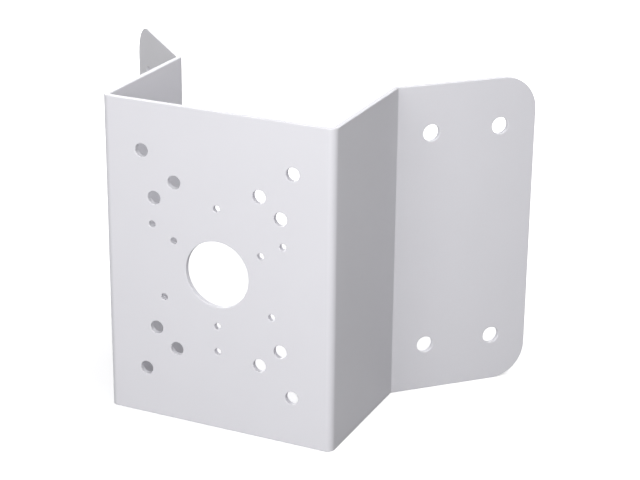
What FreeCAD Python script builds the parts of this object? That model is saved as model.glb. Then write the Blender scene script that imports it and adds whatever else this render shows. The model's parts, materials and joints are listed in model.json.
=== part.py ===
import FreeCAD, Part
import math
import os
from FreeCAD import Vector

# A bracket that holds a camera on the outside corner of a building: one sheet of steel, folded four times.
# A front plate faces -Y. Two webs run back from it, and two wings turn outwards to lie on the two walls.
# The frame has +X to the right of someone who faces the plate and +Z up. All sizes are in millimetres.
# The origin is the centre of the cable hole, on the front face of the plate.

# Sheet and folds
SHEET = 3.0
INSIDE_BEND_RADIUS = 1.0
PLATE_FOLD_ANGLE = 90.0
WING_FOLD_ANGLE = 45.0

# Panels, measured on the front faces to the corners that the folds would have if they were sharp
HEIGHT = 170.0
PLATE_WIDTH = 127.5
WEB_DEPTH = 76.5
WING_LENGTH = 77.5
WING_CORNER_RADIUS = 18.5
OUTLINE_ROUNDING = 0.4
HOLE_RIM_BREAK = 0.3

# Cable hole in the middle of the plate
CABLE_HOLE_DIAMETER = 35.0

# Three patterns of four clear holes for junction boxes and camera bases
BOX_HOLE_DIAMETER = 7.0
WIDE_BOX_ACROSS = 83.0
WIDE_BOX_UP = 118.5
SQUARE_BOX_ACROSS = 70.0
SQUARE_BOX_UP = 70.5
NARROW_BOX_ACROSS = 47.0
NARROW_BOX_UP = 90.0

# Three circles of three small holes for round camera bases
BASE_HOLE_DIAMETER = 3.5
BASE_HOLES_PER_CIRCLE = 3
SMALL_BASE_CIRCLE = 56.0
MIDDLE_BASE_CIRCLE = 70.0
LARGE_BASE_CIRCLE = 84.0
HOLE_AT_BOTTOM = -90.0
HOLE_AT_TOP = 90.0

# Wall screw holes in each wing, from the fold's sharp corner to each column of two
WALL_HOLE_DIAMETER = 9.0
WALL_HOLE_UP = 118.5
INNER_WALL_COLUMN = 19.0
OUTER_WALL_COLUMN = 57.5

# How far a cutting tool reaches past each face
OVERCUT = 5.0

# Two faces that turn less than this where they meet make no edge to soften
SMOOTH_JOIN_ANGLE = 5.0


def heading_vector(degrees):
    """Unit vector in the plane of the section, turned from +X towards +Y."""
    return Vector(math.cos(math.radians(degrees)), math.sin(math.radians(degrees)), 0)


def turned(point, centre, degrees):
    """The point after a turn about a centre in the plane of the section."""
    arm = point - centre
    cosine = math.cos(math.radians(degrees))
    sine = math.sin(math.radians(degrees))
    return centre + Vector(arm.x * cosine - arm.y * sine, arm.x * sine + arm.y * cosine, 0)


def bend_edge(point, centre, degrees):
    """Arc edge that starts at the point and turns about the centre."""
    middle = turned(point, centre, degrees / 2)
    return Part.Arc(point, middle, turned(point, centre, degrees)).toShape()


def folded_section(start, heading, steps):
    """Cross-section of a folded sheet as a face.

    The steps are followed along the front face, with the sheet on the left hand. Each one is a flat
    with its length, or a bend with its turn in degrees, positive to the left.
    """
    front = start
    back = start + heading_vector(heading + 90) * SHEET
    front_edges = []
    back_edges = []
    first_cap = Part.makeLine(front, back)
    for kind, amount in steps:
        if kind == "flat":
            move = heading_vector(heading) * amount
            front_edges.append(Part.makeLine(front, front + move))
            back_edges.append(Part.makeLine(back, back + move))
            front = front + move
            back = back + move
            continue
        left = heading_vector(heading + 90)
        if amount > 0:
            centre = back + left * INSIDE_BEND_RADIUS
        else:
            centre = front - left * INSIDE_BEND_RADIUS
        front_edges.append(bend_edge(front, centre, amount))
        back_edges.append(bend_edge(back, centre, amount))
        front = turned(front, centre, amount)
        back = turned(back, centre, amount)
        heading = heading + amount
    last_cap = Part.makeLine(front, back)
    outline = front_edges + [last_cap] + list(reversed(back_edges)) + [first_cap]
    return Part.Face(Part.Wire(Part.__sortEdges__(outline)))


def bracket_section():
    """Section of the whole bracket, from the end of the left wing to the end of the right one."""
    outside_radius = INSIDE_BEND_RADIUS + SHEET
    plate_setback = outside_radius * math.tan(math.radians(PLATE_FOLD_ANGLE / 2))
    wing_setback = INSIDE_BEND_RADIUS * math.tan(math.radians(WING_FOLD_ANGLE / 2))
    wing = ("flat", WING_LENGTH - wing_setback)
    web = ("flat", WEB_DEPTH - plate_setback - wing_setback)
    plate = ("flat", PLATE_WIDTH - 2 * plate_setback)
    wing_fold = ("bend", -WING_FOLD_ANGLE)
    plate_fold = ("bend", PLATE_FOLD_ANGLE)
    steps = [wing, wing_fold, web, plate_fold, plate, plate_fold, web, wing_fold, wing]
    first_heading = WING_FOLD_ANGLE - PLATE_FOLD_ANGLE
    return folded_section(wing_point("left", WING_LENGTH), first_heading, steps)


def plate_point(across, up):
    """Point on the front face of the plate."""
    return Vector(across, 0, up)


def wing_heading(side):
    """Direction from the fold along a wing to its end."""
    outward = PLATE_FOLD_ANGLE - WING_FOLD_ANGLE
    return heading_vector(outward if side == "right" else 180 - outward)


def web_corner(side):
    """Sharp corner between the front faces of a web and its wing, at mid-height."""
    web = heading_vector(PLATE_FOLD_ANGLE) * WEB_DEPTH
    corner = Vector(PLATE_WIDTH / 2 + web.x, web.y, 0)
    return corner if side == "right" else Vector(-corner.x, corner.y, 0)


def wing_point(side, along, up=0.0):
    """Point on the front face of a wing, at a distance from its fold."""
    return web_corner(side) + wing_heading(side) * along + Vector(0, 0, up)


def wing_inward(side):
    """Direction into the sheet from the front face of a wing, which is towards its wall."""
    turn = 90 if side == "right" else -90
    along = wing_heading(side)
    return turned(along, Vector(0, 0, 0), turn)


def punch(centre, inward, diameter):
    """Cutter for one round hole. The punch enters at the front face and rolls its rim over."""
    radius = diameter / 2
    shank = Part.makeCylinder(radius, SHEET + 2 * OVERCUT, centre - inward * OVERCUT, inward)
    rim = Part.makeCone(radius + HOLE_RIM_BREAK, radius, HOLE_RIM_BREAK, centre, inward)
    return shank.fuse(rim)


def four_hole_pattern(across, up):
    """Cutters at the corners of a rectangle on the plate."""
    inward = Vector(0, 1, 0)
    corners = [(i * across / 2, k * up / 2) for i in (-1, 1) for k in (-1, 1)]
    return [punch(plate_point(x, z), inward, BOX_HOLE_DIAMETER) for x, z in corners]


def circle_pattern(pitch_circle, first_angle):
    """Cutters evenly spaced on a circle round the cable hole."""
    inward = Vector(0, 1, 0)
    cutters = []
    for index in range(BASE_HOLES_PER_CIRCLE):
        angle = math.radians(first_angle + index * 360 / BASE_HOLES_PER_CIRCLE)
        centre = plate_point(pitch_circle / 2 * math.cos(angle), pitch_circle / 2 * math.sin(angle))
        cutters.append(punch(centre, inward, BASE_HOLE_DIAMETER))
    return cutters


def cable_cutter():
    """The cable hole in the middle of the plate."""
    return [punch(plate_point(0, 0), Vector(0, 1, 0), CABLE_HOLE_DIAMETER)]


def box_cutters():
    """The three rectangles of clear holes in the plate."""
    cutters = four_hole_pattern(WIDE_BOX_ACROSS, WIDE_BOX_UP)
    cutters += four_hole_pattern(SQUARE_BOX_ACROSS, SQUARE_BOX_UP)
    cutters += four_hole_pattern(NARROW_BOX_ACROSS, NARROW_BOX_UP)
    return cutters


def base_cutters():
    """The three circles of small holes in the plate."""
    cutters = circle_pattern(SMALL_BASE_CIRCLE, HOLE_AT_BOTTOM)
    cutters += circle_pattern(MIDDLE_BASE_CIRCLE, HOLE_AT_TOP)
    cutters += circle_pattern(LARGE_BASE_CIRCLE, HOLE_AT_BOTTOM)
    return cutters


def wall_cutters():
    """The screw holes of both wings."""
    cutters = []
    for side in ("left", "right"):
        for column in (INNER_WALL_COLUMN, OUTER_WALL_COLUMN):
            for up in (-WALL_HOLE_UP / 2, WALL_HOLE_UP / 2):
                cutters.append(punch(wing_point(side, column, up), wing_inward(side), WALL_HOLE_DIAMETER))
    return cutters


def edge_at(solid, point):
    """The edge of a solid that passes nearest to a point."""
    spot = Part.Vertex(point)
    return min(solid.Edges, key=lambda edge: edge.distToShape(spot)[0])


def wing_corner_edges(sheet):
    """The short edges across the sheet at the upper and lower corners of both wings."""
    edges = []
    for side in ("left", "right"):
        for up in (-HEIGHT / 2, HEIGHT / 2):
            middle = wing_point(side, WING_LENGTH, up) + wing_inward(side) * SHEET / 2
            edges.append(edge_at(sheet, middle))
    return edges


def face_normal(face, point):
    """Outward normal of a face at a point on it."""
    u, v = face.Surface.parameter(point)
    return face.normalAt(u, v)


def is_sharp(solid, edge):
    """True where the two faces that meet along an edge turn sharply."""
    point = edge.valueAt((edge.FirstParameter + edge.LastParameter) / 2)
    faces = solid.ancestorsOfType(edge, Part.Face)
    if len(faces) != 2:
        return False
    turn = face_normal(faces[0], point).getAngle(face_normal(faces[1], point))
    return math.degrees(turn) > SMOOTH_JOIN_ANGLE


def round_outline(sheet):
    """Round the cut edges of the sheet, all the way round both faces."""
    outline = [edge for edge in sheet.Edges if is_sharp(sheet, edge)]
    return sheet.makeFillet(OUTLINE_ROUNDING, outline)


def corner_bracket():
    """The folded sheet with its rounded wing corners, softened outline and punched holes."""
    section = bracket_section()
    section.translate(Vector(0, 0, -HEIGHT / 2))
    sheet = section.extrude(Vector(0, 0, HEIGHT))
    sheet = sheet.makeFillet(WING_CORNER_RADIUS, wing_corner_edges(sheet))
    sheet = round_outline(sheet)
    return sheet.cut(cable_cutter() + box_cutters() + base_cutters() + wall_cutters()).Solids[0]


PIECES = {"corner_bracket": corner_bracket}

os.makedirs("parts", exist_ok=True)
for name, make in PIECES.items():
    make().exportStep("parts/" + name + ".step")
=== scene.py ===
import json
import math

import bpy
from bpy.props import FloatProperty, FloatVectorProperty, IntProperty, PointerProperty
from mathutils import Matrix, Vector


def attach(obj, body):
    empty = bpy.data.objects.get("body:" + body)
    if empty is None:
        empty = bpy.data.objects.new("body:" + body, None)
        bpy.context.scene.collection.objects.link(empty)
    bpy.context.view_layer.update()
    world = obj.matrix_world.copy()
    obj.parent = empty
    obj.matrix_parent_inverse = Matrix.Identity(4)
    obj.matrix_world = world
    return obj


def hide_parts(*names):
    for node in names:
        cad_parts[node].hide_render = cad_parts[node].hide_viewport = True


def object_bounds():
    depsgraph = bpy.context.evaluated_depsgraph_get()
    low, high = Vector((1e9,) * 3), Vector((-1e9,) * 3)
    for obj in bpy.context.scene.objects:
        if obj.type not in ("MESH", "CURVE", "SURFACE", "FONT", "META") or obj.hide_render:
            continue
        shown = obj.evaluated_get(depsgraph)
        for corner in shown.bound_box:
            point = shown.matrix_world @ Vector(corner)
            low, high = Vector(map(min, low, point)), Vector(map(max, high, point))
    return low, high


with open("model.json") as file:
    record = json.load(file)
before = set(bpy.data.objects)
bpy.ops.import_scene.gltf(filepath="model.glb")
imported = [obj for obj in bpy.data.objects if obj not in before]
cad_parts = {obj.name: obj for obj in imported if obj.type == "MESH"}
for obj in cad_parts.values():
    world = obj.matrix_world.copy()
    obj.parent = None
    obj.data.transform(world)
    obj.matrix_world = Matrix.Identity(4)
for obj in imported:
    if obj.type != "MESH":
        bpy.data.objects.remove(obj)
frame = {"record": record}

CAD_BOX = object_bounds()

bl_info = {
    "name": "Camera corner mount bracket",
    "version": (1, 0, 0),
    "blender": (4, 5, 0),
    "location": "View3D > Sidebar > Bracket",
    "description": "Folds a punched steel blank into a powder-coated corner bracket and sets its studio",
    "category": "Add Mesh",
}

# The frame has +X to the right of someone who faces the plate, -Y out of the plate and +Z up, in metres
NODE = "corner_bracket"
PIECE = "coated_bracket"
MOUNTS = {mount["name"]: mount for mount in frame["record"]["mounts"]}
FLOOR_HEIGHT = CAD_BOX[0].z
MILLIMETRE = 0.001

# The panels, on the front faces, to the corners that the folds would have if they were sharp
PLATE_WIDTH = 0.1275
WEB_DEPTH = 0.0765
WING_LENGTH = 0.0775
WING_FOLD = math.radians(45)

# The line that keeps its length in a fold, as a share of the sheet's thickness from the inside
NEUTRAL_SHARE = 0.45

# The rectangles of box holes, and the circles of base holes with the direction of each one's first hole
BOX_PATTERNS = ("wide_box", "square_box", "narrow_box")
BASE_CIRCLES = {
    "small_base": math.radians(-90),
    "middle_base": math.radians(90),
    "large_base": math.radians(-90),
}
BASE_HOLES_PER_CIRCLE = 3

# Points of the blank that are closer than this are one point
WELD = 0.000002

# Turns of the blank: its right half to its left half, and from lying flat to standing
HALF_TURN = (0, 0, math.pi)
UPRIGHT = (math.pi / 2, 0, 0)

# How far the clouds, the flecks and the uneven gloss depart from the coat's own colour and roughness
CLOUD_SHADES = (0.985, 1.015)
FLECK_SHADES = (0.99, 1.01)
ROUGHNESS_SPREAD = 0.03
FLECKS_PER_DIMPLE = 3
COAT_IOR = 1.5

# Most values of a smooth noise lie between these two
NOISE_RANGE = (0.3, 0.7)

# The floor's half width, and the share of its colour that it throws back on the bracket
FLOOR_HALF_WIDTH = 6.0
FLOOR_BOUNCE = 0.15

# Between the two reaches the floor's own light rises from the first lift to the second, so that it keeps
# a soft shadow near the bracket and is as bright as the background further out
SHADOW_REACH = (0.12, 0.45)
FLOOR_LIFT = (0.4, 1.0)
WHITE = (1, 1, 1, 1)

# Each lamp's turn to the right of the plate and its height angle, in degrees, and its distance from the
# bracket and its width, in metres
LAMPS = {
    "front_lamp": (10, 18, 1.0, 0.7),
    "right_lamp": (90, 60, 1.1, 0.8),
    "top_lamp": (0, 89, 1.0, 0.7),
    "rear_lamp": (200, 8, 1.2, 0.8),
    "left_lamp": (220, 8, 1.2, 0.4),
}

# The camera's film in millimetres, and the nearest thing that it sees in metres
FILM_WIDTH = 36.0
NEAREST_SEEN = 0.01

# The socket for each kind of input of a geometry tree: a number, a whole number or a geometry
SOCKET_KINDS = {float: "NodeSocketFloat", int: "NodeSocketInt", None: "NodeSocketGeometry"}

# Room for each node of a geometry tree in the editor
COLUMN_WIDTH = 220
ROW_HEIGHT = 200


def mount_size(name, size):
    """One size of a mount, in metres."""
    return MOUNTS[name]["dims"][size] * MILLIMETRE


def hole_diameter(name, size="hole_r_mm"):
    """Diameter of the holes of a mount."""
    return 2 * mount_size(name, size)


def spacing(name):
    """Spacing of a rectangle of holes, across and up."""
    return mount_size(name, "spacing_x_mm"), mount_size(name, "spacing_y_mm")


def pitch_circle(name):
    """Diameter of the circle on which the holes of a mount lie. For two holes it is their distance."""
    return mount_size(name, "pcd_mm")


def wall_column(column):
    """Distance from the fold's sharp corner to the inner or outer column of holes in the right wing."""
    corner = Vector((PLATE_WIDTH / 2, WEB_DEPTH, 0))
    along = Vector((math.sin(WING_FOLD), math.cos(WING_FOLD), 0))
    return (Vector(MOUNTS["right_wall_holes_" + column]["pos_m"]) - corner).dot(along)


def length(title, help_text, default, largest=1.0):
    """A length in metres that a user can change."""
    return FloatProperty(
        name=title, description=help_text, default=default, min=0.0, max=largest,
        precision=4, subtype="DISTANCE", unit="LENGTH",
    )


def spread(title, help_text, default):
    """Two lengths, across and up, that a user can change."""
    return FloatVectorProperty(
        name=title, description=help_text, size=2, default=default, min=0.0, precision=4,
        subtype="XYZ_LENGTH", unit="LENGTH",
    )


def angle(title, help_text, degrees):
    """An angle that a user can change."""
    return FloatProperty(
        name=title, description=help_text, default=math.radians(degrees), subtype="ANGLE", unit="ROTATION",
    )


def steps(title, help_text, default):
    """How many straight steps a round stretch is made of."""
    return IntProperty(name=title, description=help_text, default=default, min=1, max=256)


def share(title, help_text, default):
    """A share from 0 to 1 that a user can change."""
    return FloatProperty(
        name=title, description=help_text, default=default, min=0.0, max=1.0, precision=3, subtype="FACTOR",
    )


def colour(title, help_text, default):
    """A colour that a user can change."""
    return FloatVectorProperty(
        name=title, description=help_text, size=3, default=default, min=0.0, max=1.0, subtype="COLOR",
    )


def power(title, help_text, default):
    """A lamp's power in watts that a user can change."""
    return FloatProperty(
        name=title, description=help_text, default=default, min=0.0, max=500.0,
        precision=3, subtype="POWER", unit="POWER",
    )


def lens_length(title, help_text, default):
    """A focal length in millimetres that a user can change."""
    return FloatProperty(
        name=title, description=help_text, default=default, min=1.0, max=500.0,
        subtype="DISTANCE_CAMERA", unit="CAMERA",
    )


class SheetSizes(bpy.types.PropertyGroup):
    """The folded sheet: its panels, folds and edges."""

    height: length("Height", "Height of the sheet", CAD_BOX[1].z - CAD_BOX[0].z)
    plate_width: length("Plate width", "Width of the front plate", PLATE_WIDTH)
    web_depth: length("Web depth", "Depth of each web behind the plate", WEB_DEPTH)
    wing_length: length("Wing length", "Length of each wing along its wall", WING_LENGTH)
    sheet: length("Sheet", "Thickness of the coated sheet", 0.003, 0.02)
    inside_radius: length("Inside radius", "Radius on the inside of each fold", 0.001, 0.02)
    wing_corner: length("Wing corner", "Radius of the outer corners of the wings", 0.0185, 0.08)
    edge_rounding: length("Edge rounding", "Radius that the coat leaves on every cut edge", 0.0004, 0.0015)
    plate_fold: angle("Plate fold", "Angle of the folds at the sides of the plate", 90)
    wing_fold: angle("Wing fold", "Angle of the folds between webs and wings", math.degrees(WING_FOLD))
    edge_steps: steps("Edge steps", "Steps round a quarter of a cut edge", 4)
    bend_steps: steps("Bend steps", "Steps round each fold", 18)
    corner_steps: steps("Corner steps", "Steps round each wing corner", 24)


class HoleSizes(bpy.types.PropertyGroup):
    """The punched holes. The frame's mounts give their sizes and places."""

    cable_hole: length("Cable hole", "Diameter of the cable hole", hole_diameter("cable_hole", "r_mm"))
    box_hole: length("Box hole", "Diameter of the junction box holes", hole_diameter("wide_box_holes"))
    base_hole: length("Base hole", "Diameter of the camera base holes", hole_diameter("small_base_holes"))
    wall_hole: length("Wall hole", "Diameter of the wall holes", hole_diameter("right_wall_holes_inner"))
    wide_box: spread("Wide box", "Spacing of the widest rectangle of holes", spacing("wide_box_holes"))
    square_box: spread("Square box", "Spacing of the square of holes", spacing("square_box_holes"))
    narrow_box: spread("Narrow box", "Spacing of the narrow rectangle of holes", spacing("narrow_box_holes"))
    small_base: length("Small base", "Small circle of the base holes", pitch_circle("small_base_holes"))
    middle_base: length("Middle base", "Middle circle of the base holes", pitch_circle("middle_base_holes"))
    large_base: length("Large base", "Large circle of the base holes", pitch_circle("large_base_holes"))
    wall_up: length("Wall up", "Height between two wall holes", pitch_circle("right_wall_holes_inner"))
    inner_column: length("Inner column", "From the fold to the first wall holes", wall_column("inner"))
    outer_column: length("Outer column", "From the fold to the last wall holes", wall_column("outer"))
    hole_steps: steps("Hole steps", "Steps round each small hole", 48)
    cable_steps: steps("Cable hole steps", "Steps round the cable hole", 96)


class CoatFinish(bpy.types.PropertyGroup):
    """The powder coat: a stoved light grey-white film with a faint orange peel."""

    tint: colour("Tint", "Colour of the coat", (0.786, 0.78, 0.822))
    roughness: share("Roughness", "Roughness of the satin film", 0.46)
    gloss: share("Gloss", "How much the film reflects, where 0.5 is a clear varnish", 0.28)
    peel_width: length("Peel width", "Width of one dimple of the orange peel", 0.0014, 0.01)
    peel_depth: length("Peel depth", "Depth of the orange peel", 0.000006, 0.001)
    cloud_width: length("Cloud width", "Width of the faint clouds in the film", 0.03, 0.5)


class StudioSetup(bpy.types.PropertyGroup):
    """The floor, the lamps and the camera."""

    azimuth: angle("Azimuth", "Camera's turn to the right of the plate", 24.71)
    elevation: angle("Elevation", "Camera's height angle", 21.31)
    roll: angle("Roll", "Camera's roll", -0.58)
    distance: length("Distance", "Camera to its target", 0.903, 10.0)
    target_across: length("Target across", "Target to the right of the cable hole", 0.05634)
    target_up: length("Target up", "Target above the cable hole", 0.02846)
    focal_length: lens_length("Focal length", "Focal length of the camera's lens", 105.7)
    floor_colour: colour("Floor", "Colour of the floor", (0.86, 0.86, 0.87))
    ambient: share("Ambient", "Strength of the soft light from all round", 0.08)
    front_lamp: power("Front lamp", "Power of the lamp in front", 8.6)
    right_lamp: power("Right lamp", "Power of the lamp high on the right", 4.1)
    top_lamp: power("Top lamp", "Power of the lamp overhead", 3.5)
    rear_lamp: power("Rear lamp", "Power of the large lamp low behind", 5.0)
    left_lamp: power("Left lamp", "Power of the small lamp low behind, further to the left", 4.0)


class Number:
    """A number in a node tree, so that the tree's sums are written as plain arithmetic."""

    def __init__(self, tree, socket):
        self.tree = tree
        self.socket = socket

    def through(self, operation, *others):
        """The result of one maths node on this number and others."""
        inputs = dict(enumerate((self,) + others))
        return Number(self.tree, add(self.tree, "ShaderNodeMath", inputs, operation=operation).outputs[0])

    def __add__(self, other):
        return self.through("ADD", other)

    def __sub__(self, other):
        return self.through("SUBTRACT", other)

    def __mul__(self, other):
        return self.through("MULTIPLY", other)

    def __truediv__(self, other):
        return self.through("DIVIDE", other)

    def __neg__(self):
        return self.through("MULTIPLY", -1.0)


def plug(tree, value, socket):
    """Give a socket its value: a number, another socket, or several sockets for a join."""
    if isinstance(value, Number):
        tree.links.new(value.socket, socket)
    elif isinstance(value, bpy.types.NodeSocket):
        tree.links.new(value, socket)
    elif isinstance(value, list):
        for part in value:
            tree.links.new(part, socket)
    else:
        socket.default_value = value


def add(tree, kind, inputs=None, **settings):
    """A new node with its settings and inputs."""
    new = tree.nodes.new(kind)
    for key, value in settings.items():
        setattr(new, key, value)
    for key, value in (inputs or {}).items():
        plug(tree, value, new.inputs[key])
    return new


def vector(tree, x=0.0, y=0.0, z=0.0):
    """A vector made of three numbers."""
    return add(tree, "ShaderNodeCombineXYZ", {"X": x, "Y": y, "Z": z}).outputs[0]


def move(tree, geometry, offset):
    """Geometry after a move."""
    return add(tree, "GeometryNodeTransform", {"Geometry": geometry, "Translation": offset}).outputs[0]


def turn(tree, geometry, rotation):
    """Geometry after a turn about the origin."""
    return add(tree, "GeometryNodeTransform", {"Geometry": geometry, "Rotation": rotation}).outputs[0]


def join(tree, *parts):
    """Several geometries as one."""
    return add(tree, "GeometryNodeJoinGeometry", {"Geometry": list(parts)}).outputs[0]


def place(tree, geometry, position):
    """Geometry with every point put at a position."""
    return add(tree, "GeometryNodeSetPosition", {"Geometry": geometry, "Position": position}).outputs[0]


def point_index(tree):
    """The number of each point along a line, from 0."""
    return Number(tree, add(tree, "GeometryNodeInputIndex").outputs[0])


def as_curve(tree, mesh):
    """A chain of mesh edges as a curve."""
    return add(tree, "GeometryNodeMeshToCurve", {"Mesh": mesh}).outputs[0]


def closed(tree, curve, cyclic=True):
    """A curve whose end meets its start, or an open one."""
    return add(tree, "GeometryNodeSetSplineCyclic", {"Geometry": curve, "Cyclic": cyclic}).outputs[0]


def sweep(tree, path, profile):
    """A surface along a path. The profile's X runs to the right of the path and its Y into the sheet."""
    return add(tree, "GeometryNodeCurveToMesh", {"Curve": path, "Profile Curve": profile}).outputs[0]


def input_title(key):
    """The title that an input of a geometry tree shows."""
    return key.replace("_", " ").capitalize()


def new_group(name, **inputs):
    """A geometry tree with named inputs. Returns the tree and what its inputs give."""
    tree = bpy.data.node_groups.new(name, "GeometryNodeTree")
    tree.interface.new_socket("Geometry", in_out="OUTPUT", socket_type="NodeSocketGeometry")
    for key, kind in inputs.items():
        tree.interface.new_socket(input_title(key), in_out="INPUT", socket_type=SOCKET_KINDS[kind])
    outlets = tree.nodes.new("NodeGroupInput").outputs
    given = {}
    for (key, kind), outlet in zip(inputs.items(), outlets):
        given[key] = outlet if kind is None else Number(tree, outlet)
    return tree, given


def close_group(tree, geometry):
    """End a tree with its result, and lay its nodes out in columns from left to right."""
    output = add(tree, "NodeGroupOutput", {0: geometry})
    column = {}

    def depth(item):
        if item not in column:
            sources = [link.from_node for socket in item.inputs for link in socket.links]
            column[item] = 1 + max((depth(source) for source in sources), default=-1)
        return column[item]

    filled = {}
    for item in tree.nodes:
        row = filled.get(depth(item), 0)
        item.location = (COLUMN_WIDTH * column[item], -ROW_HEIGHT * row)
        filled[column[item]] = row + 1
    output.location.y = 0
    return tree


def use(tree, group, **inputs):
    """The geometry that a group gives inside another tree."""
    item = add(tree, "GeometryNodeGroup", node_tree=group)
    for key, value in inputs.items():
        plug(tree, value, item.inputs[input_title(key)])
    return item.outputs[0]


def sheet_edge_group():
    """Section of the sheet's rounded edge: one edge has two corners, and the whole section has four.

    X runs outwards and Y runs from the front face into the sheet. Corners 0 and 1 are at the outer end
    and corners 2 and 3 at the inner one. Corners 0 and 3 are on the front face.
    """
    tree, given = new_group(
        "Sheet edge", half_height=float, corners=int, sheet=float, rounding=float, steps=int,
    )
    rounding = given["rounding"]
    points_per_corner = given["steps"] + 1.0
    points = add(tree, "GeometryNodeMeshLine", {"Count": given["corners"] * points_per_corner}).outputs[0]
    index = point_index(tree)
    corner = (index / points_per_corner).through("FLOOR")
    heading = (index - corner) / given["steps"] * (math.pi / 2)
    outer = corner.through("LESS_THAN", 1.5)
    front = (corner - 1.5).through("ABSOLUTE").through("GREATER_THAN", 1.0)
    across = given["half_height"] * (outer * 2.0 - 1.0)
    depth = front * rounding + (-front + 1.0) * (given["sheet"] - rounding)
    x = across + rounding * heading.through("SINE")
    y = depth - rounding * heading.through("COSINE")
    line = as_curve(tree, place(tree, points, vector(tree, x, y)))
    is_whole = given["corners"].through("GREATER_THAN", 3.5)
    return close_group(tree, closed(tree, line, is_whole))


def strip_group(sheet_edge):
    """A plain strip of the blank, with the whole section of the sheet along it."""
    tree, given = new_group(
        "Strip", start=float, length=float, parts=int, height=float, sheet=float, rounding=float, steps=int,
    )
    start = vector(tree, given["start"])
    step = vector(tree, given["length"] / given["parts"])
    line_inputs = {"Count": given["parts"] + 1.0, "Start Location": start, "Offset": step}
    line = add(tree, "GeometryNodeMeshLine", line_inputs).outputs[0]
    section = use(
        tree, sheet_edge, half_height=given["height"] / 2.0 - given["rounding"], corners=4,
        sheet=given["sheet"], rounding=given["rounding"], steps=given["steps"],
    )
    return close_group(tree, sweep(tree, as_curve(tree, line), section))


def hole_rings_group():
    """Round outlines, one for each hole, on the face of the sheet where the rim starts to roll over."""
    tree, given = new_group("Hole rings", places=None, diameter=float, rounding=float, steps=int)
    radius = given["diameter"] / 2.0 + given["rounding"]
    circle = {"Resolution": given["steps"], "Radius": radius}
    ring = add(tree, "GeometryNodeCurvePrimitiveCircle", circle).outputs[0]
    ring = add(tree, "GeometryNodeReverseCurve", {"Curve": ring}).outputs[0]
    copies = {"Points": given["places"], "Instance": ring}
    rings = add(tree, "GeometryNodeInstanceOnPoints", copies).outputs[0]
    return close_group(tree, add(tree, "GeometryNodeRealizeInstances", {"Geometry": rings}).outputs[0])


def panel_group(sheet_edge):
    """A flat panel of the blank with holes: its two faces and all its rounded edges.

    The outline bounds the faces. The cut edges are the stretches of it that aren't folds.
    """
    tree, given = new_group(
        "Panel", outline=None, cut_edges=None, holes=None, sheet=float, rounding=float, steps=int,
    )
    section = use(
        tree, sheet_edge, half_height=0.0, corners=2,
        sheet=given["sheet"], rounding=given["rounding"], steps=given["steps"],
    )
    edges = sweep(tree, join(tree, given["cut_edges"], given["holes"]), section)
    bounds = join(tree, given["outline"], given["holes"])
    front = add(tree, "GeometryNodeFillCurve", {"Curve": bounds}).outputs[0]
    back = move(tree, front, vector(tree, z=-given["sheet"]))
    back = add(tree, "GeometryNodeFlipFaces", {"Mesh": back}).outputs[0]
    return close_group(tree, join(tree, front, back, edges))


def fold_group():
    """Fold both ends of the blank about two upright lines at the same distance from the middle.

    The direction is 1 towards the back of the sheet and -1 towards its front.
    """
    tree, given = new_group(
        "Fold", geometry=None, start=float, length=float, angle=float, direction=float,
        sheet=float, inside_radius=float,
    )
    position = add(tree, "GeometryNodeInputPosition").outputs[0]
    parts = add(tree, "ShaderNodeSeparateXYZ", {"Vector": position})
    x, y, z = (Number(tree, outlet) for outlet in parts.outputs)
    distance = x.through("ABSOLUTE")
    depth = -z
    direction = given["direction"]
    before = distance.through("MINIMUM", given["start"])
    past = distance - given["start"]
    bent = (past / given["length"]).through("MAXIMUM", 0.0).through("MINIMUM", 1.0)
    after = (past - given["length"]).through("MAXIMUM", 0.0)
    heading = bent * given["angle"]
    far_face = (direction + 1.0) / 2.0 * given["sheet"]
    radius = given["inside_radius"] + far_face - direction * depth
    centre = direction * given["inside_radius"] + far_face
    sine = heading.through("SINE")
    cosine = heading.through("COSINE")
    new_distance = before + radius * sine + after * cosine
    new_depth = centre - direction * radius * cosine + direction * after * sine
    new_position = vector(tree, new_distance * x.through("SIGN"), y, -new_depth)
    return close_group(tree, place(tree, given["geometry"], new_position))


def hole_rectangle(tree, across, up, centre=0.0):
    """Four places at the corners of a rectangle, whose centre is this far to the right."""
    grid = {"Size X": across, "Size Y": up, "Vertices X": 2, "Vertices Y": 2}
    return move(tree, add(tree, "GeometryNodeMeshGrid", grid).outputs[0], vector(tree, centre))


def hole_circle(tree, diameter, first_angle):
    """Places evenly spaced on a circle round the cable hole."""
    circle = {"Vertices": BASE_HOLES_PER_CIRCLE, "Radius": diameter / 2.0}
    return turn(tree, add(tree, "GeometryNodeMeshCircle", circle).outputs[0], (0, 0, first_angle))


def blank_layout(given):
    """Lengths and places on the right half of the flat blank, from the middle of the plate outwards."""
    inside = given["inside_radius"]
    neutral_radius = inside + given["sheet"] * NEUTRAL_SHARE
    plate_setback = (inside + given["sheet"]) * (given["plate_fold"] / 2.0).through("TANGENT")
    wing_setback = inside * (given["wing_fold"] / 2.0).through("TANGENT")
    flat = {"wing_setback": wing_setback}
    flat["half_height"] = given["height"] / 2.0 - given["edge_rounding"]
    flat["half_plate"] = given["plate_width"] / 2.0 - plate_setback
    flat["plate_bend"] = given["plate_fold"] * neutral_radius
    flat["web"] = given["web_depth"] - plate_setback - wing_setback
    flat["wing_bend"] = given["wing_fold"] * neutral_radius
    flat["wing"] = given["wing_length"] - wing_setback
    flat["web_start"] = flat["half_plate"] + flat["plate_bend"]
    flat["wing_bend_start"] = flat["web_start"] + flat["web"]
    flat["wing_start"] = flat["wing_bend_start"] + flat["wing_bend"]
    flat["wing_end"] = flat["wing_start"] + flat["wing"] - given["edge_rounding"]
    return flat


def sheet_edge_inputs(given):
    """The sizes of the sheet's edge, which every panel and strip takes."""
    return {"sheet": given["sheet"], "rounding": given["edge_rounding"], "steps": given["edge_steps"]}


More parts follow.
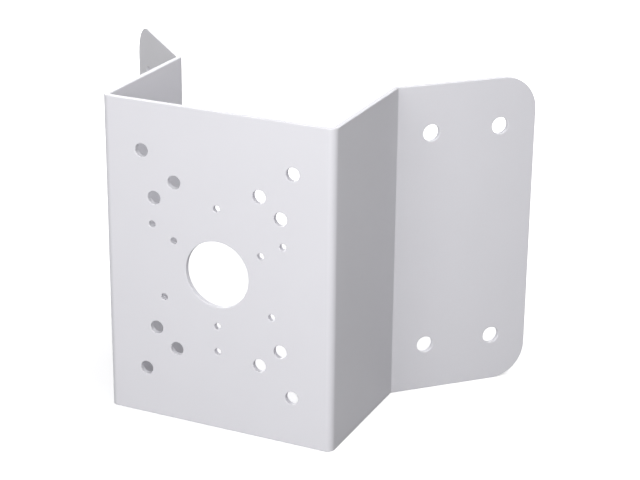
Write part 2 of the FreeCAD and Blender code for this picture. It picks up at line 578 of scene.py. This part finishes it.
def hole_outlines(tree, given, rings, places, hole, ring_steps="hole_steps"):
    """Outlines of the holes at some places. Inputs of the tree give their diameter and steps."""
    return use(
        tree, rings, places=places, diameter=given[hole], rounding=given["edge_rounding"],
        steps=given[ring_steps],
    )


def plate_holes(tree, given, rings):
    """Outlines of all the holes in the plate."""
    boxes = [hole_rectangle(tree, given[name + "_across"], given[name + "_up"]) for name in BOX_PATTERNS]
    bases = [hole_circle(tree, given[name], first_angle) for name, first_angle in BASE_CIRCLES.items()]
    middle = add(tree, "GeometryNodeMeshLine", {"Count": 1}).outputs[0]
    return join(
        tree,
        hole_outlines(tree, given, rings, middle, "cable_hole", "cable_steps"),
        hole_outlines(tree, given, rings, join(tree, *boxes), "box_hole"),
        hole_outlines(tree, given, rings, join(tree, *bases), "base_hole"),
    )


def plate_panel(tree, given, flat, panel, rings):
    """The flat plate between its two folds."""
    half_width, half_height = flat["half_plate"], flat["half_height"]
    rectangle = {"Width": half_width * 2.0, "Height": half_height * 2.0}
    outline = add(tree, "GeometryNodeCurvePrimitiveQuadrilateral", rectangle).outputs[0]
    left_end = vector(tree, -half_width, -half_height)
    right_end = vector(tree, half_width, -half_height)
    ends = {"Start": left_end, "End": right_end}
    lower_edge = add(tree, "GeometryNodeCurvePrimitiveLine", ends).outputs[0]
    cut_edges = join(tree, lower_edge, turn(tree, lower_edge, HALF_TURN))
    return use(
        tree, panel, outline=outline, cut_edges=cut_edges, holes=plate_holes(tree, given, rings),
        **sheet_edge_inputs(given),
    )


def wing_cut_edge(tree, given, flat):
    """The three cut sides of the right wing: along the bottom, up the end and back along the top.

    Of its four points, counted from 0, points 1 and 2 are at the end and points 2 and 3 at the top.
    """
    points = add(tree, "GeometryNodeMeshLine", {"Count": 4}).outputs[0]
    index = point_index(tree)
    at_end = (index - 1.5).through("ABSOLUTE").through("LESS_THAN", 1.0)
    at_top = index.through("GREATER_THAN", 1.5)
    x = flat["wing_start"] + at_end * (flat["wing_end"] - flat["wing_start"])
    y = flat["half_height"] * (at_top * 2.0 - 1.0)
    line = as_curve(tree, place(tree, points, vector(tree, x, y)))
    radius = given["wing_corner"] - given["edge_rounding"]
    fillet = {"Curve": line, "Count": given["corner_steps"] - 1.0, "Radius": radius}
    return add(tree, "GeometryNodeFilletCurve", fillet, mode="POLY").outputs[0]


def wing_panel(tree, given, flat, panel, rings):
    """The flat right wing with its wall holes."""
    columns_middle = (given["inner_column"] + given["outer_column"]) / 2.0 - flat["wing_setback"]
    columns_apart = given["outer_column"] - given["inner_column"]
    middle = flat["wing_start"] + columns_middle
    places = hole_rectangle(tree, columns_apart, given["wall_up"], middle)
    cut_edge = wing_cut_edge(tree, given, flat)
    return use(
        tree, panel, outline=closed(tree, cut_edge), cut_edges=cut_edge,
        holes=hole_outlines(tree, given, rings, places, "wall_hole"), **sheet_edge_inputs(given),
    )


def plain_strip(tree, given, strip, start, size, parts=1):
    """A stretch of the blank without holes, in one part or in the parts that a fold bends."""
    return use(
        tree, strip, start=start, length=size, parts=parts, height=given["height"],
        **sheet_edge_inputs(given),
    )


def flat_blank(tree, given, flat):
    """The punched blank before it is folded: the plate, and the same stretches on both sides of it."""
    sheet_edge = sheet_edge_group()
    strip = strip_group(sheet_edge)
    rings = hole_rings_group()
    panel = panel_group(sheet_edge)
    plate = plate_panel(tree, given, flat, panel, rings)
    bend_steps = given["bend_steps"]
    right_side = join(
        tree,
        plain_strip(tree, given, strip, flat["half_plate"], flat["plate_bend"], bend_steps),
        plain_strip(tree, given, strip, flat["web_start"], flat["web"]),
        plain_strip(tree, given, strip, flat["wing_bend_start"], flat["wing_bend"], bend_steps),
        wing_panel(tree, given, flat, panel, rings),
    )
    left_side = turn(tree, right_side, HALF_TURN)
    pieces = join(tree, plate, right_side, left_side)
    return add(tree, "GeometryNodeMergeByDistance", {"Geometry": pieces, "Distance": WELD}).outputs[0]


def folded_blank(tree, given, flat, blank):
    """The blank after both pairs of folds, wings first, and stood upright."""
    fold = fold_group()
    bend = {"sheet": given["sheet"], "inside_radius": given["inside_radius"]}
    wings_folded = use(
        tree, fold, geometry=blank, start=flat["wing_bend_start"], length=flat["wing_bend"],
        angle=given["wing_fold"], direction=-1.0, **bend,
    )
    all_folded = use(
        tree, fold, geometry=wings_folded, start=flat["half_plate"], length=flat["plate_bend"],
        angle=given["plate_fold"], direction=1.0, **bend,
    )
    return turn(tree, all_folded, UPRIGHT)


def bracket_tree(sizes, coat):
    """The tree that punches the blank, folds it and coats it."""
    tree, given = new_group("Folded bracket", **{key: type(value) for key, value in sizes.items()})
    flat = blank_layout(given)
    folded = folded_blank(tree, given, flat, flat_blank(tree, given, flat))
    smooth = add(tree, "GeometryNodeSetShadeSmooth", {"Geometry": folded}).outputs[0]
    real = add(tree, "GeometryNodeRealizeInstances", {"Geometry": smooth}).outputs[0]
    coated = add(tree, "GeometryNodeSetMaterial", {"Geometry": real, "Material": coat}).outputs[0]
    return close_group(tree, coated)


def bracket_sizes(*groups):
    """Every size of the bracket's tree, by name. A spread of holes becomes two, across and up."""
    sizes = {}
    for group in groups:
        for key in group.__annotations__:
            value = getattr(group, key)
            if key in BOX_PATTERNS:
                sizes[key + "_across"], sizes[key + "_up"] = value
            else:
                sizes[key] = value
    return sizes


def plain_mesh(name, modified):
    """A plain mesh of an object as its modifiers leave it, as a new object. The old one goes."""
    evaluated = modified.evaluated_get(bpy.context.evaluated_depsgraph_get())
    mesh = bpy.data.meshes.new_from_object(evaluated)
    mesh.name = name

    # The empty mesh that carried the modifiers can leave an empty slot in front of the coat's
    while mesh.materials[0] is None:
        mesh.materials.pop(index=0)
    bpy.data.objects.remove(modified)
    piece = bpy.data.objects.new(name, mesh)
    bpy.context.scene.collection.objects.link(piece)
    return piece


def folded_bracket(sizes, coat):
    """The finished bracket as one plain mesh."""
    carrier = bpy.data.objects.new(PIECE + "_blank", bpy.data.meshes.new(PIECE + "_blank"))
    bpy.context.scene.collection.objects.link(carrier)
    tree = bracket_tree(sizes, coat)
    nodes = carrier.modifiers.new("Folded bracket", "NODES")
    nodes.node_group = tree
    sockets = [item for item in tree.interface.items_tree if item.in_out == "INPUT"]
    for socket, value in zip(sockets, sizes.values()):
        nodes[socket.identifier] = value
    carrier.modifiers.new("Flat faces stay flat", "WEIGHTED_NORMAL")
    return plain_mesh(PIECE, carrier)


def shader_tree(owner):
    """An empty shader tree of a material or world."""
    owner.use_nodes = True
    owner.node_tree.nodes.clear()
    return owner.node_tree


def toned(tint, level=1.0):
    """A colour at a share of its brightness, with the full alpha that a colour socket takes."""
    return (*(Vector(tint) * level), 1)


def mixed(tree, factor, first, second, blend_type="MIX"):
    """A colour made of two. A mix node has sockets of the same name for each kind of value."""
    mixer = add(tree, "ShaderNodeMix", data_type="RGBA", blend_type=blend_type)
    inlets = {socket.identifier: socket for socket in mixer.inputs}
    outlets = {socket.identifier: socket for socket in mixer.outputs}
    plug(tree, factor, inlets["Factor_Float"])
    plug(tree, first, inlets["A_Color"])
    plug(tree, second, inlets["B_Color"])
    return outlets["Result_Color"]


def between(tree, value, reach, results, **settings):
    """A number that runs from one result to the other while a value runs over its reach."""
    inputs = {"Value": value, "From Min": reach[0], "From Max": reach[1]}
    inputs.update({"To Min": results[0], "To Max": results[1]})
    return add(tree, "ShaderNodeMapRange", inputs, **settings).outputs[0]


def noise(tree, where, width, detail, roughness=0.5):
    """Smooth noise with features of about a width in metres."""
    inputs = {"Vector": where, "Scale": 1 / width, "Detail": detail, "Roughness": roughness}
    return add(tree, "ShaderNodeTexNoise", inputs).outputs["Fac"]


def powder_coat(finish):
    """Satin powder coat: a pale film with faint clouds, uneven gloss and a fine orange peel."""
    material = bpy.data.materials.new("satin_powder_coat")
    tree = shader_tree(material)
    where = add(tree, "ShaderNodeTexCoord").outputs["Object"]
    clouds = noise(tree, where, finish.cloud_width, detail=3.0)
    grain = noise(tree, where, finish.peel_width / FLECKS_PER_DIMPLE, detail=2.0)
    peel = noise(tree, where, finish.peel_width, detail=2.0, roughness=0.35)
    dark, light = (toned(finish.tint, level) for level in CLOUD_SHADES)
    clouded = mixed(tree, clouds, dark, light)
    flecks = between(tree, grain, NOISE_RANGE, FLECK_SHADES)
    smoothest = finish.roughness - ROUGHNESS_SPREAD
    roughest = finish.roughness + ROUGHNESS_SPREAD
    bump = add(tree, "ShaderNodeBump", {"Height": peel, "Strength": 1.0, "Distance": finish.peel_depth})
    inputs = {
        "Base Color": mixed(tree, 1.0, clouded, flecks, blend_type="MULTIPLY"),
        "Roughness": between(tree, clouds, NOISE_RANGE, (smoothest, roughest)),
        "Normal": bump.outputs[0],
        "IOR": COAT_IOR,
        "Specular IOR Level": finish.gloss,
    }
    shader = add(tree, "ShaderNodeBsdfPrincipled", inputs)
    add(tree, "ShaderNodeOutputMaterial", {"Surface": shader.outputs[0]})
    return material


def seen_directly(tree):
    """1 for rays that show the background itself: from the camera, in a gloss or through glass."""
    rays = add(tree, "ShaderNodeLightPath").outputs
    seen = Number(tree, rays["Is Camera Ray"])
    seen = seen.through("MAXIMUM", rays["Is Glossy Ray"])
    return seen.through("MAXIMUM", rays["Is Transmission Ray"])


def studio_world(studio):
    """White where it is seen, and a soft grey where it lights the bracket."""
    world = bpy.data.worlds.new("studio_world")
    tree = shader_tree(world)
    strength = seen_directly(tree) * (1.0 - studio.ambient) + studio.ambient
    light = add(tree, "ShaderNodeBackground", {"Color": WHITE, "Strength": strength})
    add(tree, "ShaderNodeOutputWorld", {"Surface": light.outputs[0]})
    bpy.context.scene.world = world


def floor_material(studio):
    """A pale matt floor that looks white, keeps the shadow and throws little light back."""
    material = bpy.data.materials.new("studio_floor")
    tree = shader_tree(material)
    seen = seen_directly(tree)
    tone = mixed(tree, seen, toned(studio.floor_colour, FLOOR_BOUNCE), toned(studio.floor_colour))
    matt = add(tree, "ShaderNodeBsdfDiffuse", {"Color": tone})
    where = add(tree, "ShaderNodeTexCoord").outputs["Object"]
    reach = add(tree, "ShaderNodeVectorMath", {0: where}, operation="LENGTH").outputs["Value"]
    lift = between(tree, reach, SHADOW_REACH, FLOOR_LIFT, interpolation_type="SMOOTHSTEP")
    glow = add(tree, "ShaderNodeEmission", {"Color": WHITE, "Strength": seen * lift})
    both = add(tree, "ShaderNodeAddShader", {0: matt.outputs[0], 1: glow.outputs[0]})
    add(tree, "ShaderNodeOutputMaterial", {"Surface": both.outputs[0]})
    return material


def studio_floor(studio):
    """A wide plain floor under the bracket."""
    half = FLOOR_HALF_WIDTH
    corners = [(-half, -half), (half, -half), (half, half), (-half, half)]
    mesh = bpy.data.meshes.new("studio_floor")
    mesh.from_pydata([(x, y, FLOOR_HEIGHT) for x, y in corners], [], [(0, 1, 2, 3)])
    mesh.materials.append(floor_material(studio))
    floor = bpy.data.objects.new("studio_floor", mesh)
    bpy.context.scene.collection.objects.link(floor)


def direction_from(azimuth, elevation):
    """Unit vector from the bracket outwards, turned to the right of the plate and raised."""
    return Vector((
        math.sin(azimuth) * math.cos(elevation),
        -math.cos(azimuth) * math.cos(elevation),
        math.sin(elevation),
    ))


def soft_lamp(name, position, aim, width, watts):
    """A square soft lamp that faces a point."""
    light = bpy.data.lights.new(name, "AREA")
    light.shape = "SQUARE"
    light.size = width
    light.energy = watts
    lamp = bpy.data.objects.new(name, light)
    lamp.location = position
    lamp.rotation_euler = (aim - position).to_track_quat("-Z", "Y").to_euler()
    bpy.context.scene.collection.objects.link(lamp)


def studio_lamps(studio):
    """Soft lamps round the bracket, each with its own power."""
    middle = (CAD_BOX[0] + CAD_BOX[1]) / 2
    for name, (azimuth, elevation, distance, width) in LAMPS.items():
        outwards = direction_from(math.radians(azimuth), math.radians(elevation))
        soft_lamp(name, middle + outwards * distance, middle, width, getattr(studio, name))


def studio_camera(studio):
    """The camera at the photograph's viewing angle."""
    backwards = direction_from(studio.azimuth, studio.elevation)
    target = Vector((studio.target_across, 0, studio.target_up))
    right = (-backwards).cross(Vector((0, 0, 1))).normalized()
    up = backwards.cross(right)
    level_axes = Matrix((right, up, backwards)).transposed().to_4x4()
    lens = bpy.data.cameras.new("photo_camera")
    lens.sensor_fit = "HORIZONTAL"
    lens.sensor_width = FILM_WIDTH
    lens.lens = studio.focal_length
    lens.clip_start = NEAREST_SEEN
    camera = bpy.data.objects.new("photo_camera", lens)
    rolled_axes = level_axes @ Matrix.Rotation(-studio.roll, 4, "Z")
    camera.matrix_world = Matrix.Translation(target + backwards * studio.distance) @ rolled_axes
    bpy.context.scene.collection.objects.link(camera)
    bpy.context.scene.camera = camera


class CORNER_BRACKET_OT_fold_bracket(bpy.types.Operator):
    """Punch the blank, fold it and give it its powder coat"""

    bl_idname = "corner_bracket.fold_bracket"
    bl_label = "Fold the bracket"
    bl_options = {"REGISTER", "UNDO"}

    def execute(self, context):
        scene = context.scene
        sizes = bracket_sizes(scene.bracket_sheet, scene.bracket_holes)
        piece = folded_bracket(sizes, powder_coat(scene.bracket_coat))
        if not piece.data.polygons:
            raise RuntimeError("The folded bracket has no faces: check its sizes.")
        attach(piece, "root")
        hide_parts(NODE)
        return {"FINISHED"}


class CORNER_BRACKET_OT_set_studio(bpy.types.Operator):
    """Lay the floor, hang the lamps and set the camera"""

    bl_idname = "corner_bracket.set_studio"
    bl_label = "Set the studio"
    bl_options = {"REGISTER", "UNDO"}

    def execute(self, context):
        studio = context.scene.bracket_studio
        studio_world(studio)
        studio_floor(studio)
        studio_lamps(studio)
        studio_camera(studio)
        context.scene.view_settings.view_transform = "Standard"
        return {"FINISHED"}


# What the sidebar shows: a title, the settings under it and the operator that uses them
SIDEBAR = (
    ("Sheet", "bracket_sheet", None),
    ("Holes", "bracket_holes", None),
    ("Powder coat", "bracket_coat", CORNER_BRACKET_OT_fold_bracket.bl_idname),
    ("Studio", "bracket_studio", CORNER_BRACKET_OT_set_studio.bl_idname),
)


class CORNER_BRACKET_PT_sidebar(bpy.types.Panel):
    """Sizes, finish and studio of the bracket"""

    bl_idname = "CORNER_BRACKET_PT_sidebar"
    bl_label = "Corner bracket"
    bl_space_type = "VIEW_3D"
    bl_region_type = "UI"
    bl_category = "Bracket"

    def draw(self, context):
        for title, group, operator in SIDEBAR:
            box = self.layout.box()
            box.label(text=title)
            settings = getattr(context.scene, group)
            for key in settings.__annotations__:
                box.prop(settings, key)
            if operator:
                box.operator(operator)


SETTINGS = {
    "bracket_sheet": SheetSizes,
    "bracket_holes": HoleSizes,
    "bracket_coat": CoatFinish,
    "bracket_studio": StudioSetup,
}
CLASSES = (
    *SETTINGS.values(),
    CORNER_BRACKET_OT_fold_bracket,
    CORNER_BRACKET_OT_set_studio,
    CORNER_BRACKET_PT_sidebar,
)


def register():
    """Add the operators, the panel and the scene's settings."""
    for item in CLASSES:
        bpy.utils.register_class(item)
    for name, group in SETTINGS.items():
        setattr(bpy.types.Scene, name, PointerProperty(type=group))


def unregister():
    """Take the settings, the panel and the operators away again."""
    for name in SETTINGS:
        delattr(bpy.types.Scene, name)
    for item in reversed(CLASSES):
        bpy.utils.unregister_class(item)


def main():
    """Make the bracket and its studio."""
    register()
    bpy.ops.corner_bracket.fold_bracket()
    bpy.ops.corner_bracket.set_studio()


if __name__ == "__main__":
    main()
